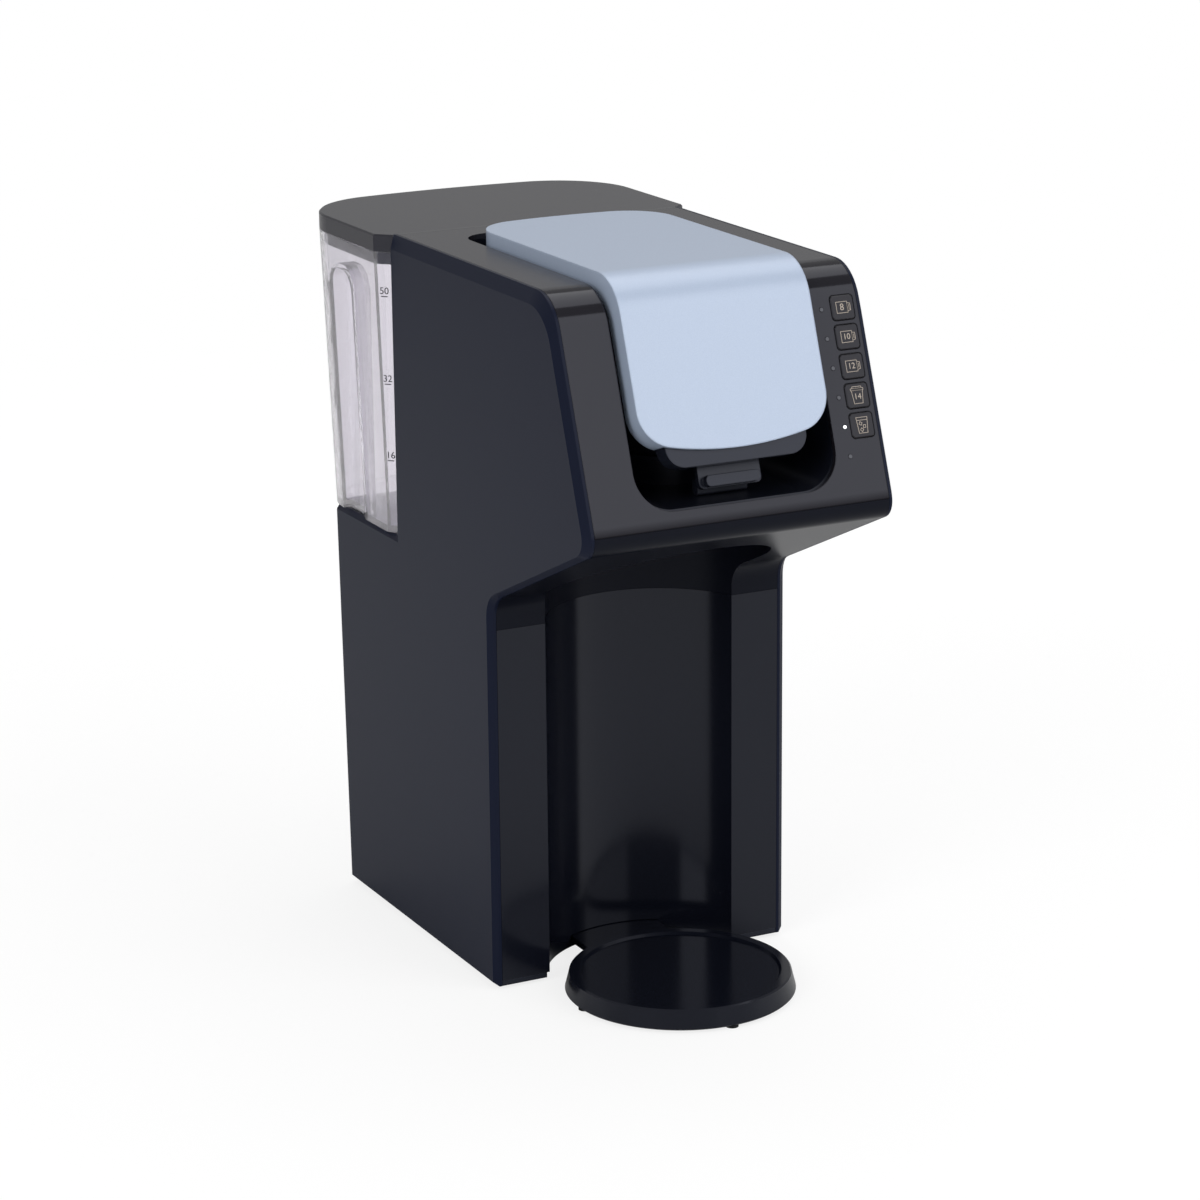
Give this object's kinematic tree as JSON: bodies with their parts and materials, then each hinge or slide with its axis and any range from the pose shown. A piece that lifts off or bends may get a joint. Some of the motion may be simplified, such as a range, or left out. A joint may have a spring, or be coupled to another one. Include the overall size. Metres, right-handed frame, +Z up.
{
  "type": "pod coffee maker",
  "caption": "Tall single-cup pod coffee maker with a hinged brew lid, sloped control face, clear lift-off water tank at the back and a round slide-in cup rest.",
  "frame": {"origin": "centre of the whole outline on the counter, under the rubber feet", "axes": "+Z up, -Y towards the user at the control face, +X to the right of the user, where the buttons are"},
  "size_m": [0.164, 0.311, 0.3475],
  "materials": {
    "side_satin": "satin near-black with a blue cast",
    "casing_gloss": "glossy black with a blue cast",
    "fascia_gloss": "glossy black, slightly warm",
    "deck_satin": "satin dark grey",
    "lid_blue": "satin metallic pale blue paint",
    "trim_black": "matte black",
    "button_black": "matte near-black",
    "tank_clear": "clear moulded plastic with a faint violet tint",
    "steel": "plain",
    "heater_metal": "cast",
    "rubber": "matte",
    "pale_plastic": "matte",
    "hose_clear": "silicone hose",
    "board_green": "lacquered board",
    "light_lens": "clear lens"
  },
  "bodies": {
    "casing": {"left_side_panel": "side_satin", "right_side_panel": "side_satin", "front_panel": "fascia_gloss", "top_deck": "deck_satin", "brew_well": "casing_gloss", "lid_hinge_pin": "steel", "well_catch": "trim_black", "pod_basket": "trim_black", "lower_needle": "steel", "head_underside": "casing_gloss", "bay_wall": "casing_gloss", "base_plate": "trim_black", "base_screws": "steel", "rubber_feet": "rubber", "rear_cover": "casing_gloss", "cord_gland": "rubber", "tank_cradle": "casing_gloss", "inlet_seat": "pale_plastic", "control_board": "board_green", "button_domes": "rubber", "indicator_lights": "light_lens", "pump": "trim_black", "heater": "heater_metal", "inlet_tube": "hose_clear", "link_tube": "hose_clear", "riser_tube": "hose_clear"},
    "brew_lid": {"lid_cover": "lid_blue", "lid_liner": "trim_black", "upper_needle": "steel", "lid_gasket": "rubber", "latch_pin": "steel"},
    "lid_latch": {"lid_latch": "trim_black"},
    "water_tank": {"water_tank": "tank_clear", "spigot_ring": "rubber"},
    "tank_lid": {"tank_lid": "deck_satin"},
    "tank_valve": {"tank_valve": "pale_plastic"},
    "cup_rest": {"cup_rest": "casing_gloss", "cup_rest_pads": "rubber"},
    "button_8_oz": {"button_8_oz": "button_black"},
    "button_10_oz": {"button_10_oz": "button_black"},
    "button_12_oz": {"button_12_oz": "button_black"},
    "button_14_oz": {"button_14_oz": "button_black"},
    "button_iced": {"button_iced": "button_black"}
  },
  "joints": [
    {"name": "lid_hinge", "type": "hinge", "parent": "casing", "child": "brew_lid", "pos_m": [0, 0.016, 0.3395], "axis": [-1, 0, 0], "range_deg": [0, 90]},
    {"name": "latch_pivot", "type": "hinge", "parent": "brew_lid", "child": "lid_latch", "pos_m": [0, -0.13342, 0.27645], "axis": [-1, 0, 0], "range_deg": [0, 6], "stiffness_Nm_per_rad": 0.05},
    {"name": "tank_lift", "type": "slide", "parent": "casing", "child": "water_tank", "axis": [0, 0, 1], "range_m": [0, 0.16]},
    {"name": "tank_lid_lift", "type": "slide", "parent": "water_tank", "child": "tank_lid", "axis": [0, 0, 1], "range_m": [0, 0.06]},
    {"name": "valve_slide", "type": "slide", "parent": "water_tank", "child": "tank_valve", "axis": [0, 0, 1], "range_m": [0, 0.003], "stiffness_N_per_m": 200},
    {"name": "cup_rest_slide", "type": "slide", "parent": "casing", "child": "cup_rest", "axis": [0, -1, 0], "range_m": [0, 0.06]},
    {"name": "button_8_oz_press", "type": "slide", "parent": "casing", "child": "button_8_oz", "axis": [0, 0.9409, -0.3387], "range_m": [0, 0.0008], "stiffness_N_per_m": 600},
    {"name": "button_10_oz_press", "type": "slide", "parent": "casing", "child": "button_10_oz", "axis": [0, 0.9409, -0.3387], "range_m": [0, 0.0008], "stiffness_N_per_m": 600},
    {"name": "button_12_oz_press", "type": "slide", "parent": "casing", "child": "button_12_oz", "axis": [0, 0.9409, -0.3387], "range_m": [0, 0.0008], "stiffness_N_per_m": 600},
    {"name": "button_14_oz_press", "type": "slide", "parent": "casing", "child": "button_14_oz", "axis": [0, 0.9409, -0.3387], "range_m": [0, 0.0008], "stiffness_N_per_m": 600},
    {"name": "button_iced_press", "type": "slide", "parent": "casing", "child": "button_iced", "axis": [0, 0.9409, -0.3387], "range_m": [0, 0.0008], "stiffness_N_per_m": 600}
  ]
}
